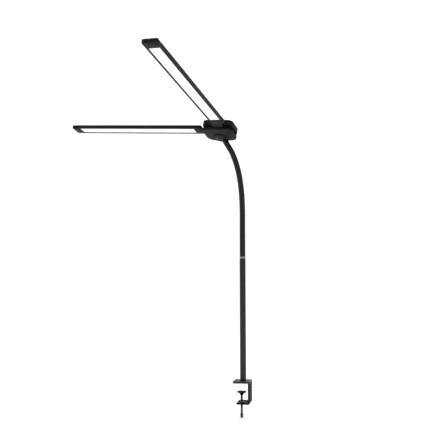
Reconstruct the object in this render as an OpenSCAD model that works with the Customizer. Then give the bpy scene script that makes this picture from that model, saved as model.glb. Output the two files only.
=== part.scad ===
// Clamp-on desk lamp: a C clamp, a straight pole, a flexible neck and a hub that
// carries two light bars on one upright pivot.
// Millimetres. The origin is on the pole's axis, in the plane that rests on the desk.
// +Z is up, the clamp opens towards -X, and +Y is the back.

/* [Clamp] */
// Width of the bracket along Y
clamp_w = 58; // [44:1:90]
// Thickness of the bent plate
clamp_t = 3.8; // [3:0.1:6]
// Clear height between the jaws
clamp_gap = 50; // [45:1:80]
// How far the upper jaw reaches in front of the pole's axis
upper_reach = 24; // [20:1:60]
// How far the lower jaw reaches in front of the pole's axis
lower_reach = 14.5; // [13:0.5:50]
// Outside of the back plate behind the pole's axis
clamp_back = 20; // [17:1:40]
// Thickness of the pad under the upper jaw
jaw_pad_t = 1.2; // [0.8:0.1:3]
// Outer bend radius of the plate
bend_r = 3.2; // [1:0.1:5]

/* [Clamp screw] */
// Radius of the screw's thread
screw_r = 3; // [2.5:0.1:4]
// Distance of the screw in front of the pole's axis
screw_x = 4; // [0:0.5:5]
// Gap between the upper jaw and the pressure pad at rest
pad_gap = 23; // [22:0.5:30]
// Radius of the pressure pad
pad_r = 12; // [9:0.5:16]
// Length of the screw from its tip to the end of its head
screw_len = 64; // [60:0.5:80]
// Length of the tommy bar
tommy_len = 40; // [24:1:60]
// Turn of the tommy bar about the screw, from the Y axis
tommy_turn = 11.4; // [0:0.1:90]

/* [Pole] */
// Radius of the pole and of its ring
pole_r = 8; // [7.5:0.1:12]
// Wall of the pole
pole_wall = 1; // [0.8:0.1:1.5]
// Length of the pole
pole_len = 320.7; // [200:0.1:500]
// Height of the ring that joins the pole to the neck
ring_h = 4.8; // [3:0.1:10]
// Radius of the stud that the pole turns on
stud_r = 4; // [3:0.1:4.5]

/* [Neck] */
// Outer radius of the neck's sleeve
neck_r = 7.5; // [7:0.1:9]
// Wall of the sleeve
sleeve_wall = 1.4; // [1:0.1:1.6]
// Length of the neck below its first joint
neck_base = 23.5; // [16:0.5:40]
// Length of one link, from joint to joint
link_len = 52; // [30:1:80]
// Length of the last link, from its joint to the hub
last_len = 35; // [28:1:60]
// Lean of each link from upright at rest, towards -X
link_lean = [0, 0, 2.9, 8.7, 18, 29.5];

/* [Head] */
// Tilt of the head about X
head_pitch = -8.4; // [-20:0.1:20]
// Tilt of the head about Y
head_roll = 6.7; // [-20:0.1:20]
// Turn of the head about its own upright axis
head_yaw = -8.7; // [-30:0.1:30]
// Width of the hub
hub_w = 83.4; // [80:0.1:110]
// Depth of the hub
hub_d = 74; // [70:0.5:90]
// Corner radius of the hub at the bars' side
hub_near_r = 15; // [6:0.5:18]
// Corner radius of the hub at the neck's side
hub_far_r = 22; // [8:0.5:24]
// Thickness of the lower shell
lower_t = 4.6; // [4:0.1:7]
// Height of the upper shell with its cover
upper_h = 13.4; // [10:0.1:16]
// Wall of the hub's shells
hub_wall = 2.2; // [1.6:0.1:3]
// Radius of the raised disc under the hub
boss_r = 22; // [21:0.5:26]
// Height of the raised disc
boss_h = 3; // [1:0.1:5]
// Radius of the pivot bolt
pivot_r = 4; // [3:0.1:5]

/* [Light bars] */
// Width of a bar
bar_w = 36.4; // [32:0.1:44]
// Thickness of a bar
bar_t = 9.1; // [8.6:0.1:12]
// Distance of a bar's tip from the pivot
bar_reach = 438.3; // [300:0.1:600]
// Distance of a bar's shoulder from the pivot
bar_shoulder = 47; // [42:0.5:50]
// Length of the light panel
panel_len = 348; // [200:1:500]
// Width of the frame beside the panel
lip_w = 4.65; // [3.5:0.05:7]
// Wall of the housing
bar_wall = 1.2; // [1:0.1:1.6]
// Width of the arm that enters the hub
arm_w = 28.7; // [24:0.1:30]
// Sideways step between the pivot and the upper arm's bar
crank = 14.1; // [8:0.1:15]
// Angle between the two bars at rest
bar_angle = 87; // [60:1:120]

/* [Hidden] */
$fn = 64;
fit = 0.05;                // radial gap of parts fixed to each other
run = 0.06;                // radial gap of parts that turn in each other
free = 0.4;                // gap between a bar and the hub's shells
eps = 0.01;

// clamp levels
jaw_top = jaw_pad_t + clamp_t;
low_top = -clamp_gap;
low_bottom = low_top - clamp_t;
inner_x = clamp_back - clamp_t;
stud_head_r = stud_r + 3;
stud_head_h = 2.4;

// screw levels
pad_rubber_t = 1.5;
plate_t = 2.2;
hub_cone_h = 6.3;
pad_top = -pad_gap;
plate_top = pad_top - pad_rubber_t;
cone_top = plate_top - plate_t;
cone_bottom = cone_top - hub_cone_h;
tip_r = screw_r - 0.5;
tip_h = 5;
screw_tip = cone_bottom + tip_h;
screw_end = screw_tip - screw_len;
screw_head_r = 3.8;
screw_head_h = 12;
tommy_r = 1.6;
cap_len = 5;
cap_r = 2.4;
bushing_r = screw_r + 2.5;

// pole levels
washer_t = 0.4;
pole_z = jaw_top + washer_t + fit;
pole_top = pole_z + pole_len;
pole_in_r = pole_r - pole_wall;
plug_h = 24;
plug_top = pole_z + plug_h;
nut_h = 5;
stud_top = plug_top + nut_h + 2;
coupling_h = 24;
spigot_r = 4.5;
spigot_len = 15;
inlet_z = pole_z + 48;
inlet_r = 4;
inlet_proud = 0.6;
socket_r = 2.8;
socket_pin_r = 0.9;

// neck
links = len(link_lean);
core_r = neck_r - sleeve_wall - 0.1;
ball_r = core_r - 1.4;
cup_r = ball_r + 0.3;
cup_rise = 1.5;
stem_r = ball_r - 2;
stem_len = 6;
cup_h = 8;                 // depth of a cup's body below its joint
joint_gap = 2.5;           // from a joint's centre to the end of each sleeve
wire_r = 1.7;
neck_z = pole_top + ring_h;
collar_r = neck_r + 0.2;
collar_start = last_len - 5;
collar_len = 15;
tail = 21;                 // how far the last link reaches into the hub
first_joint = [0, 0, neck_z + neck_base];

function lean_dir(k) = [-sin(link_lean[k]), 0, cos(link_lean[k])];
function joint_at(k) = k == 0 ? first_joint : joint_at(k - 1) + link_len * lean_dir(k - 1);
neck_end = joint_at(links - 1) + last_len * lean_dir(links - 1);

// head frame: its origin is on the pivot's axis, in the plane of the bars' undersides
neck_in_head = [7.5, 43.4, -13.2];
function turn_z(p, a) = [p[0] * cos(a) - p[1] * sin(a), p[0] * sin(a) + p[1] * cos(a), p[2]];
function turn_x(p, a) = [p[0], p[1] * cos(a) - p[2] * sin(a), p[1] * sin(a) + p[2] * cos(a)];
function turn_y(p, a) = [p[0] * cos(a) + p[2] * sin(a), p[1], -p[0] * sin(a) + p[2] * cos(a)];
function head_turn(p) = turn_y(turn_x(turn_z(p, head_yaw), head_pitch), head_roll);
head_at = neck_end - head_turn(neck_in_head);

// hub levels, in the head frame
slot_low = -free;
slot_high = bar_t + free;
low_z = slot_low - lower_t;
boss_z = low_z - boss_h;
hub_top = slot_high + upper_h;
cover_t = 2;
floor_t = 2;
hub_x = -2.55;
hub_near = -22;
hub_y = hub_near + hub_d / 2;
boss_at = [-5, 31];
spine_x = [-20, 14];
spine_y = [30, hub_near + hub_d - 1.5];
spine_r = 3;
skirt_y = 32;              // the spine's wing closes the slot's far corner from here
skirt_inset = 2;
screw_spots = [[-16, 34], [-16, 46], [11, 33.2]];
hub_screw_r = 1.5;
hub_screw_head_r = 2.6;
hub_screw_sink = 1.8;
wire_spot = [-5.5, 38.8];  // where the wires pass from the spine to the upper shell
board_half = 32;           // the driver board in the upper shell
board_y = [11, 42];
chip = [8, 6, 1.8];
coil_r = 3.5;
coil_h = 3.2;
nut_r = 8;
touch_x = [hub_x - 26, hub_x + 30];
touch_y = [2, 28];
touch_t = 0.8;
touch_r = 5;

// pivot stack, in the head frame
disc_t = 0.5;              // friction washers
disc_gap = disc_t + 2 * fit;
tongue_t = (slot_high - slot_low - 3 * disc_gap) / 2;
tongue_low = slot_low + disc_gap;
tongue_high = tongue_low + tongue_t + disc_gap;
bolt_head_r = 9;
bolt_head_t = 2.2;
disc_r = arm_w / 2 - 1;
block_start = 20.8;        // the upper arm is full height outside this distance
block_y = 7;
block_r = 7.5;
arm_step = 0.78;           // share of the crank that the tongue takes up before the shoulder

// bar levels
panel_end = bar_reach - 22.7;
panel_start = panel_end - panel_len;
cap_start = bar_reach - 21;
housing_start = panel_start - 1.6;
plug_in = 10;              // how far the arm and the end cap reach into the housing
plug_gap = 0.1;
pocket_in = 12;            // how far the wires' pocket reaches back from the housing's end
pocket_roof = 2.4;
pane_gap = 0.2;
pane_sink = 0.4;           // the panel sits this far above the bar's underside
diffuser_t = 1.2;
board_t = 1;
board_w = 20;
board_z = bar_t - bar_wall - 0.3 - board_t;
led = [3.5, 2.8, 0.7];
led_count = 28;
bar_screw_r = 1.1;
bar_screw_head = 2.1;
bar_screw_sink = 0.7;
bar_screw_len = 3.6;
bar_screw_in = 2.9;        // from the bar's edge to the screw's axis
edge_r = 2.2;              // corner radius of a bar's tip

// ---------- shared shapes ----------

module tube(r_out, r_in, z0, z1) {
    translate([0, 0, z0]) difference() {
        cylinder(r = r_out, h = z1 - z0);
        translate([0, 0, -1]) cylinder(r = r_in, h = z1 - z0 + 2);
    }
}

module rod(r, z0, z1) {
    translate([0, 0, z0]) cylinder(r = r, h = z1 - z0);
}

// a flat outline x0..x1 by y0..y1 whose near corners have radius rn and far ones rf
module soft_rect(x0, x1, y0, y1, rn, rf) {
    union() {
        polygon([[x0 + rn, y0], [x1 - rn, y0], [x1, y0 + rn], [x1, y1 - rf],
                 [x1 - rf, y1], [x0 + rf, y1], [x0, y1 - rf], [x0, y0 + rn]]);
        for (x = [x0 + rn, x1 - rn]) translate([x, y0 + rn]) circle(r = rn);
        for (x = [x0 + rf, x1 - rf]) translate([x, y1 - rf]) circle(r = rf);
    }
}

module slab(x0, x1, y0, y1, z0, z1, rn, rf) {
    translate([0, 0, z0]) linear_extrude(z1 - z0) soft_rect(x0, x1, y0, y1, rn, rf);
}

module block(p, q) {
    translate(p) cube(q - p);
}

module link_place(k) {
    translate(joint_at(k)) rotate([0, -link_lean[k], 0]) children();
}

module head_place() {
    translate(head_at) rotate([head_pitch, head_roll, 0]) rotate([0, 0, head_yaw]) children();
}

// +X runs from the pivot to the bar's tip, with the bar moved sideways by its crank
module bar_place(n) {
    head_place() rotate([0, 0, n == 1 ? 180 : 180 + bar_angle]) children();
}
function side(n) = n == 1 ? 0 : crank;

// ---------- clamp ----------

// a square of side r at a corner of the plate's outline, less a quarter circle
module bend_cut(z, up) {
    translate([clamp_back - bend_r, z - up * bend_r]) difference() {
        translate([0, up > 0 ? 0 : -bend_r - 1]) square(bend_r + 1);
        circle(r = bend_r);
    }
}

module bracket_outline() {
    difference() {
        union() {
            translate([-upper_reach, jaw_pad_t]) square([upper_reach + clamp_back, clamp_t]);
            translate([-lower_reach, low_bottom]) square([lower_reach + clamp_back, clamp_t]);
            translate([inner_x, low_bottom]) square([clamp_t, jaw_top - low_bottom]);
        }
        bend_cut(jaw_top, 1);
        bend_cut(low_bottom, -1);
    }
}

module clamp_bracket() {
    color("#35353a") difference() {
        translate([0, clamp_w / 2, 0]) rotate([90, 0, 0]) linear_extrude(clamp_w) bracket_outline();
        rod(stud_r + fit, 0, jaw_top + 1);
        translate([0, 0, jaw_pad_t]) cylinder(r1 = stud_head_r + fit, r2 = stud_r + fit, h = stud_head_h);
        translate([-screw_x, 0, 0]) rod(bushing_r + fit, low_bottom - 1, low_top + 1);
    }
}

module jaw_pad() {
    color("#1c1c1c")
        slab(-upper_reach + 1, inner_x - 1, -clamp_w / 2 + 1, clamp_w / 2 - 1, 0, jaw_pad_t, 2, 2);
}

module pole_stud() {
    color("#8c8c8c") union() {
        translate([0, 0, jaw_pad_t]) cylinder(r1 = stud_head_r, r2 = stud_r, h = stud_head_h);
        rod(stud_r, jaw_pad_t, stud_top);
    }
}

module stud_nut() {
    color("#9a9a9a") difference() {
        translate([0, 0, plug_top + 0.5]) cylinder(r = pole_in_r - 0.6, h = nut_h, $fn = 6);
        rod(stud_r + fit, plug_top, stud_top + 1);
    }
}

module foot_washer() {
    color("#101010") tube(pole_r - 0.1, stud_r + fit, jaw_top, jaw_top + washer_t);
}

module screw_bushing() {
    color("#7d7d7d") translate([-screw_x, 0, 0]) tube(bushing_r, screw_r + run, low_bottom, low_top);
}

// ---------- clamp screw and pad ----------

module pressure_plate() {
    color("#3a3a3a") translate([-screw_x, 0, 0]) difference() {
        union() {
            rod(pad_r, cone_top, plate_top);
            translate([0, 0, cone_bottom]) cylinder(r1 = screw_r + 1.2, r2 = screw_r + 4, h = hub_cone_h);
        }
        rod(tip_r + run, cone_bottom - 1, screw_tip + 0.3);
    }
}

module pad_rubber() {
    color("#151515") translate([-screw_x, 0, 0]) rod(pad_r - 0.4, plate_top, pad_top);
}

module clamp_screw() {
    color("#7c7c78") translate([-screw_x, 0, 0]) difference() {
        union() {
            rod(tip_r, cone_bottom - 1, screw_tip);
            rod(screw_r, screw_end + 1, cone_bottom - 0.3);
            rod(screw_head_r, screw_end, screw_end + screw_head_h);
        }
        tommy_place() rod(tommy_r + fit, -screw_head_r - 1, screw_head_r + 1);
    }
}

module tommy_place() {
    translate([0, 0, screw_end + screw_head_h / 2]) rotate([0, 0, tommy_turn]) rotate([90, 0, 0]) children();
}

module tommy_bar() {
    color("#7c7c78") translate([-screw_x, 0, 0]) tommy_place() rod(tommy_r, -tommy_len / 2, tommy_len / 2);
}

module bar_caps() {
    color("#202020") translate([-screw_x, 0, 0]) tommy_place() for (a = [0, 180]) rotate([a, 0, 0])
        difference() {
            rod(cap_r, tommy_len / 2 - cap_len + 1, tommy_len / 2 + 1);
            rod(tommy_r + fit, tommy_len / 2 - cap_len, tommy_len / 2 + fit);
        }
}

// ---------- pole ----------

module inlet_place() {
    translate([0, 0, inlet_z]) rotate([-90, 0, 0]) children();
}

module lower_pole() {
    color("#35352f") difference() {
        tube(pole_r, pole_in_r, pole_z, pole_top);
        inlet_place() rod(inlet_r + fit, 0, pole_r + 1);
    }
}

module pole_plug() {
    color("#2a2a2a") tube(pole_in_r - fit, stud_r + run, pole_z, plug_top);
}

module power_inlet() {
    color("#181818") inlet_place() union() {
        difference() {
            rod(inlet_r, -1, pole_r + inlet_proud);
            rod(socket_r, 0, pole_r + 1);
        }
        rod(socket_pin_r, -0.5, pole_r - 0.6);
    }
}

module pole_coupling() {
    color("#a0a09c") difference() {
        rod(pole_in_r - fit, pole_top - coupling_h, pole_top);
        rod(spigot_r + fit, pole_top - spigot_len - 1, pole_top + 1);
        rod(wire_r, pole_top - coupling_h - 1, pole_top);
    }
}

module joint_ring() {
    color("#8d8d88") tube(pole_r, spigot_r + fit, pole_top, neck_z);
}

// ---------- neck ----------

// the cup at the top of one core, which the next core's ball sits in
module cup(z) {
    difference() {
        rod(core_r, z - cup_h, z + cup_rise);
        translate([0, 0, z]) sphere(r = cup_r);
        rod(wire_r, z - cup_h - 1, z);
    }
}

module ball_end() {
    difference() {
        union() {
            sphere(r = ball_r);
            rod(stem_r, 0, stem_len + 1);
        }
        rod(wire_r, -ball_r - 1, stem_len + 2);
    }
}

module neck_core(k) {
    color("#6e6e6e") if (k == 0) {
        tube(spigot_r, wire_r, pole_top - spigot_len, neck_z + eps);
        tube(core_r, wire_r, neck_z, first_joint[2] - cup_h + eps);
        cup(first_joint[2]);
    } else link_place(k - 1) union() {
        ball_end();
        tube(core_r, wire_r, stem_len, k == links ? last_len + tail : link_len - cup_h + eps);
        if (k < links) cup(link_len);
    }
}

module neck_sleeve(k) {
    inner = core_r + 0.1;
    color("#232323") if (k == 0) tube(neck_r, inner, neck_z, first_joint[2] - joint_gap);
    else link_place(k - 1)
        tube(neck_r, inner, joint_gap, k == links ? collar_start : link_len - joint_gap);
}

module neck_collar() {
    color("#0c0c0c") link_place(links - 1)
        tube(collar_r, core_r + 0.1, collar_start, collar_start + collar_len);
}

// ---------- hub ----------

module hub_slab(inset, z0, z1) {
    slab(hub_x - hub_w / 2 + inset, hub_x + hub_w / 2 - inset, hub_near + inset, hub_near + hub_d - inset,
         z0, z1, hub_near_r - inset, hub_far_r - inset);
}

module neck_hole(r) {
    link_place(links - 1) rod(r, 0, last_len + tail + fit);
}

module hub_lower_shell() {
    color("#37382f") difference() {
        head_place() difference() {
            union() {
                hub_slab(0, low_z, slot_low);
                translate(boss_at) rod(boss_r, boss_z, slot_low);
            }
            rod(bolt_head_r + fit, slot_low - bolt_head_t - fit, slot_low + 1);
            for (s = screw_spots) translate(s) {
                rod(hub_screw_r + fit, boss_z - 1, slot_low + 1);
                rod(hub_screw_head_r + 2 * fit, boss_z - 1, boss_z + hub_screw_sink);
            }
        }
        neck_hole(collar_r + fit);
    }
}

module hub_spine() {
    color("#4a4a4a") difference() {
        head_place() difference() {
            union() {
                slab(spine_x[0], spine_x[1], spine_y[0], spine_y[1], slot_low + eps, slot_high - eps,
                     spine_r, spine_r);
                intersection() {
                    hub_slab(skirt_inset, slot_low + eps, slot_high - eps);
                    block([0, skirt_y, slot_low], [hub_x + hub_w, hub_near + hub_d, slot_high]);
                }
            }
            for (s = screw_spots) translate(s) rod(hub_screw_r + fit, slot_low - 1, slot_high + 1);
            translate(wire_spot) rod(wire_r, 0, slot_high + 1);
        }
        neck_hole(core_r + fit);
    }
}

module hub_upper_shell() {
    cavity_z = slot_high + floor_t;
    color("#2b2b2b") head_place() difference() {
        hub_slab(0, slot_high, hub_top - cover_t);
        hub_slab(hub_wall, cavity_z, hub_top);
        rod(pivot_r + fit, slot_high - 1, cavity_z + 1);
        for (s = screw_spots) translate(s) rod(hub_screw_r - 0.2 + fit, slot_high - 1, cavity_z + 1);
        translate(wire_spot) rod(wire_r, slot_high - 1, cavity_z + 1);
    }
}

module hub_top_cover() {
    color("#262626") head_place() difference() {
        union() {
            hub_slab(0, hub_top - cover_t, hub_top);
            hub_slab(hub_wall + 0.1, hub_top - cover_t - 1.2, hub_top - cover_t + eps);
        }
        hub_slab(2 * hub_wall, hub_top - cover_t - 2, hub_top - cover_t);
        slab(touch_x[0] - fit, touch_x[1] + fit, touch_y[0] - fit, touch_y[1] + fit,
             hub_top - touch_t, hub_top + 1, touch_r + fit, touch_r + fit);
    }
}

module touch_panel() {
    color("#050505") head_place()
        slab(touch_x[0], touch_x[1], touch_y[0], touch_y[1], hub_top - touch_t + eps, hub_top,
             touch_r, touch_r);
}

module driver_board() {
    z = slot_high + floor_t + 0.6;
    top = z + 1.6;
    color("#1f5c35") head_place() union() {
        block([hub_x - board_half, board_y[0], z], [hub_x + board_half, board_y[1], top]);
        for (x = [-28:14:14]) translate([hub_x + x, board_y[0] + 5, top - eps]) cube(chip + [0, 0, eps]);
        for (x = [-22, 22]) translate([hub_x + x, board_y[1] - 10, 0]) rod(coil_r, top - eps, top + coil_h);
    }
}

module pivot_bolt() {
    top = slot_high + floor_t + 6;
    color("#8a8a8a") head_place() difference() {
        union() {
            rod(bolt_head_r, slot_low - bolt_head_t, slot_low);
            rod(pivot_r, slot_low - eps, top);
        }
        rod(wire_r, slot_low - bolt_head_t - 1, top + 1);
    }
}

module pivot_nut() {
    z = slot_high + floor_t;
    color("#9a9a9a") head_place() difference() {
        translate([0, 0, z]) cylinder(r = nut_r, h = nut_h, $fn = 6);
        rod(pivot_r + fit, z - 1, z + 6);
    }
}

module friction_washers() {
    color("#c9c6b8") head_place()
        for (z = [slot_low, tongue_low + tongue_t, tongue_high + tongue_t])
            tube(disc_r, pivot_r + fit, z + fit, z + fit + disc_t);
}

module hub_screws() {
    color("#6f6f6f") head_place() for (s = screw_spots) translate(s) union() {
        rod(hub_screw_head_r, boss_z + 0.1, boss_z + hub_screw_sink);
        rod(hub_screw_r, boss_z + 0.5, slot_high);
        rod(hub_screw_r - 0.2, slot_high - eps, slot_high + floor_t);
    }
}

// ---------- light bars ----------

function bar_y(n) = [side(n) - bar_w / 2, side(n) + bar_w / 2];

// the tongue that enters the hub: round about the pivot, then straight to the shoulder
module tongue_outline(n) {
    reach = bar_shoulder + 1;
    step = side(n) * arm_step;
    union() {
        circle(r = arm_w / 2);
        polygon([[0, -arm_w / 2], [reach, step - arm_w / 2], [reach, step + arm_w / 2], [0, arm_w / 2]]);
    }
}

// the full-height part of the tongue, with its inner corners rounded
module block_outline(n) {
    intersection() {
        tongue_outline(n);
        union() {
            translate([block_start + block_r, -bar_w]) square([bar_shoulder, 3 * bar_w]);
            for (s = [-1, 1]) translate([block_start + block_r, block_y + s * (arm_w / 2 - block_r)])
                circle(r = block_r);
            translate([block_start, block_y - arm_w / 2 + block_r])
                square([block_r + 1, arm_w - 2 * block_r]);
        }
    }
}

// the opening for the panel, cut into the plug that stands behind it
module pane_cut(x0, x1, y) {
    block([x0, y[0] + lip_w - pane_gap, -1], [x1, y[1] - lip_w + pane_gap, 4]);
}

module wire_pocket(x0, x1, y) {
    block([x0, y[0] + lip_w, bar_wall + diffuser_t], [x1, y[1] - lip_w, bar_t - pocket_roof]);
}

module bar_arm(n) {
    y = bar_y(n);
    z0 = n == 1 ? tongue_low : tongue_high;
    inner = bar_wall + plug_gap;
    color("#20211f") bar_place(n) difference() {
        union() {
            translate([0, 0, z0]) linear_extrude(tongue_t) tongue_outline(n);
            if (n == 2) linear_extrude(tongue_high + tongue_t) block_outline(n);
            block([bar_shoulder, y[0], 0], [housing_start, y[1], bar_t]);
            block([housing_start - 1, y[0] + inner, inner],
                  [housing_start + plug_in, y[1] - inner, bar_t - inner]);
        }
        rod(pivot_r + run, -1, bar_t + 1);
        wire_pocket(housing_start - pocket_in, housing_start + plug_in + 1, y);
        pane_cut(panel_start - pane_gap, panel_start + plug_in + 2, y);
        for (s = screw_at(n)) if (s[0] < bar_reach / 2) translate(s) rod(bar_screw_r - 0.1 + fit, 4, bar_t);
    }
}

function screw_at(n) = [for (x = [housing_start + plug_in - 4, cap_start - plug_in + 4])
    for (t = [-1, 1]) [x, side(n) + t * (bar_w / 2 - bar_screw_in), 0]];

module bar_housing(n) {
    y = bar_y(n);
    color("#26262a") bar_place(n) difference() {
        block([housing_start, y[0], 0], [cap_start, y[1], bar_t]);
        block([housing_start - 1, y[0] + bar_wall, bar_wall],
              [cap_start + 1, y[1] - bar_wall, bar_t - bar_wall]);
        block([housing_start - 1, y[0] + lip_w, -1], [cap_start + 1, y[1] - lip_w, bar_wall + 1]);
        for (s = screw_at(n)) translate(s) {
            rod(bar_screw_r + fit, bar_t - bar_wall - 1, bar_t + 1);
            rod(bar_screw_head + fit, bar_t - bar_screw_sink, bar_t + 1);
        }
    }
}

module bar_end_cap(n) {
    y = bar_y(n);
    inner = bar_wall + plug_gap;
    color("#202022") bar_place(n) difference() {
        union() {
            translate([cap_start, 0, 0]) linear_extrude(bar_t) union() {
                translate([0, y[0]]) square([bar_reach - cap_start - edge_r, bar_w]);
                translate([0, y[0] + edge_r]) square([bar_reach - cap_start, bar_w - 2 * edge_r]);
                for (s = [0, 1]) translate([bar_reach - cap_start - edge_r, y[s] + (1 - 2 * s) * edge_r])
                    circle(r = edge_r);
            }
            block([cap_start - plug_in, y[0] + inner, inner], [cap_start + 1, y[1] - inner, bar_t - inner]);
        }
        wire_pocket(cap_start - plug_in - 1, cap_start + pocket_in, y);
        pane_cut(panel_end - plug_in - 2, panel_end + pane_gap, y);
        for (s = screw_at(n)) if (s[0] > bar_reach / 2) translate(s) rod(bar_screw_r - 0.1 + fit, 4, bar_t);
    }
}

module bar_diffuser(n) {
    y = bar_y(n);
    color("#f4f4f0") bar_place(n)
        block([panel_start, y[0] + lip_w + fit, pane_sink],
              [panel_end, y[1] - lip_w - fit, pane_sink + diffuser_t]);
}

module bar_led_board(n) {
    color("#e8e8e0") bar_place(n)
        block([housing_start + plug_in + 1, side(n) - board_w / 2, board_z],
              [cap_start - plug_in - 1, side(n) + board_w / 2, board_z + board_t]);
}

module bar_leds(n) {
    first = housing_start + plug_in + 6;
    last = cap_start - plug_in - 6 - led[0];
    pitch = (last - first) / (led_count - 1);
    color("#f6e27a") bar_place(n) for (k = [0:led_count - 1])
        translate([first + k * pitch, side(n) - led[1] / 2, board_z - led[2] - fit]) cube(led);
}

module bar_screws(n) {
    color("#5c5c5c") bar_place(n) for (s = screw_at(n)) translate(s) union() {
        rod(bar_screw_head, bar_t - bar_screw_sink + fit, bar_t);
        rod(bar_screw_r - 0.1, bar_t - bar_screw_len, bar_t - bar_screw_sink + 2 * fit);
    }
}

// ---------- the lamp ----------

clamp_bracket();
jaw_pad();
pole_stud();
stud_nut();
foot_washer();
screw_bushing();
pressure_plate();
pad_rubber();
clamp_screw();
tommy_bar();
bar_caps();
lower_pole();
pole_plug();
power_inlet();
pole_coupling();
joint_ring();
for (k = [0:links]) {
    neck_core(k);
    neck_sleeve(k);
}
neck_collar();
hub_lower_shell();
hub_spine();
hub_upper_shell();
hub_top_cover();
touch_panel();
driver_board();
pivot_bolt();
pivot_nut();
friction_washers();
hub_screws();
for (n = [1, 2]) {
    bar_housing(n);
    bar_end_cap(n);
    bar_arm(n);
    bar_diffuser(n);
    bar_led_board(n);
    bar_leds(n);
    bar_screws(n);
}
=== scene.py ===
"""A clamp-on desk lamp with a flexible neck and two light bars, dressed around its CAD frame."""
import math

import bmesh
import bpy
from mathutils import Matrix, Vector


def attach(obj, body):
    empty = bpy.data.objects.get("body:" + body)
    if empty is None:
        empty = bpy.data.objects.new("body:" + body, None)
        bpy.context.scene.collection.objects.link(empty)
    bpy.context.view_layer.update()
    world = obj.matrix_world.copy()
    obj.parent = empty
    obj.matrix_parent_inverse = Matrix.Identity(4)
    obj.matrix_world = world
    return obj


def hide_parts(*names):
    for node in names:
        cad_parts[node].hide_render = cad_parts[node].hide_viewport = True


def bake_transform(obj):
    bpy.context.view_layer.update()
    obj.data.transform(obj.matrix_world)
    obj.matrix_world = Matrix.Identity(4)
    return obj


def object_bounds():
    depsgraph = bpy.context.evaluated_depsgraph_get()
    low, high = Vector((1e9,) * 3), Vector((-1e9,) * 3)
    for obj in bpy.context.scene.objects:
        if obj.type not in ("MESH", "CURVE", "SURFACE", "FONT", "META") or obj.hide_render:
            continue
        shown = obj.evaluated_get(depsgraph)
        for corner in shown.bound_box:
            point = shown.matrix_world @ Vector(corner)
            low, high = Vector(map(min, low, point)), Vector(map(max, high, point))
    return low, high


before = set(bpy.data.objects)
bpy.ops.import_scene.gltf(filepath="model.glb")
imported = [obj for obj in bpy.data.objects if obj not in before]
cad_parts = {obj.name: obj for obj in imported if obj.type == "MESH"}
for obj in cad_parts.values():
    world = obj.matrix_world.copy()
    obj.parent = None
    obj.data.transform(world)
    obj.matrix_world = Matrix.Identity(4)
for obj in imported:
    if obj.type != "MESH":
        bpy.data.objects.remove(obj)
cad_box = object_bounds()

MM = 0.001

# Clamp, in millimetres from the point where the pole's axis meets the desk
CLAMP_HALF = 29.0
PLATE = 3.8
JAW_LOW, JAW_HIGH = 1.2, 5.0
LOW_JAW_TOP = -50.0
UPPER_REACH, LOWER_REACH, CLAMP_BACK = 24.0, 14.5, 20.0
JAW_CORNER, BEND_OUTSIDE, BEND_INSIDE = 5.0, 3.15, 0.8
BUSH_BORE = 3.06
PAD_SEAM, PAD_TOP = -24.5, -23.0

# Clamp screw, whose axis is SCREW_X from the pole's
SCREW_X = -4.0
SCREW_TIP, SCREW_END = -28.0, -92.0
THREAD_FROM, THREAD_TO = SCREW_END + 12.5, SCREW_TIP - 5.4
THREAD_PITCH = 1.5
THREAD_R, THREAD_FLANK, THREAD_ROOT = 3.0, 2.76, 2.72
KNOB_R = 3.8
TOMMY_Z, TOMMY_R, TOMMY_HALF = SCREW_END + 6, 1.6, 19.8
TOMMY_TURN = 11.4

# Pole and neck
POLE_R = 8.0
POLE_BORE = 7.0
POLE_FOOT, POLE_TOP = 5.45, 326.15
INLET_Z = 53.45
NECK_FOOT = 330.95
FIRST_JOINT = 354.45
LINK, LAST_LINK = 52.0, 35.0
LEANS = [0.0, 0.0, 2.9, 8.7, 18.0, 29.5]
NECK_R, SLEEVE_WALL = 7.5, 1.2
SLEEVE_END, COLLAR_END = 30.2, 45.0

# Head, in its own frame: the origin is on the bars' pivot
NECK_IN_HEAD = Vector((7.5, 43.4, -13.2))
HUB_X, HUB_W, HUB_NEAR, HUB_D = -2.55, 83.4, -22.0, 74.0
HUB_NEAR_R, HUB_FAR_R = 15, 22
SLOT_LOW, SLOT_HIGH = -0.4, 9.5
HUB_BOTTOM, BOSS_BOTTOM = -5.0, -8.0
COVER_LOW, HUB_TOP = 20.9, 22.9
HUB_SCREWS = [(-16, 34), (-16, 46), (11, 33.2)]
BOSS_X, BOSS_Y, BOSS_R = -5, 31, 22.0
PILLAR_X, PILLAR_Y = (-20, 14), (30, 50.5)
# The dark wall in the hub's slot is painted shade: it stands where the slot would only be in shadow
SHADE_WING_Y, SHADE_WING_INSET = 32, 1.2
STRIP_X, STRIP_Y, STRIP_R = (-26, 30), (2, 28), 5

# Light bars, along X from the pivot
BAR_W, BAR_T = 36.4, 9.1
SHOULDER, HOUSING, CAP, TIP = 47.0, 66.0, 417.3, 438.3
PANEL = (67.6, 415.6)
PANEL_LOW, PANEL_HIGH = 1.2, 2.3
LIP = 4.65
WALL = 1.3
ARM_W = 28.7
CRANK = {1: 0.0, 2: 14.1}
TONGUE_LOW, TONGUE_T = {1: 0.2, 2: 4.85}, 4.05
TONGUE_SHARE = 0.78
RISER_X, RISER_T = 20.8, 4.9
RISER_Y, RISER_STEP = 4.5, 5.5
BAR_SCREW_END, BAR_SCREW_EDGE = 6, 2.9

# Studio, in metres, and camera
SWEEP_SIZE, SWEEP_WALL, SWEEP_BEND = 12, 7, 2.5
SWEEP_GLOW, ROOM_GLOW = 0.56, 0.42
CAMERA_PLACE = Vector((0.2295, -1.6538, 0.2226))
CAMERA_ANGLES = (10.603, 3.162, -0.121)
CAMERA_LENS, CAMERA_SHIFT = 53.05, 0.117371


# ---------- places ----------

def heading(lean):
    return Vector((-math.sin(lean), 0, math.cos(lean)))


def lean_dir(k):
    return heading(math.radians(LEANS[k]))


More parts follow.
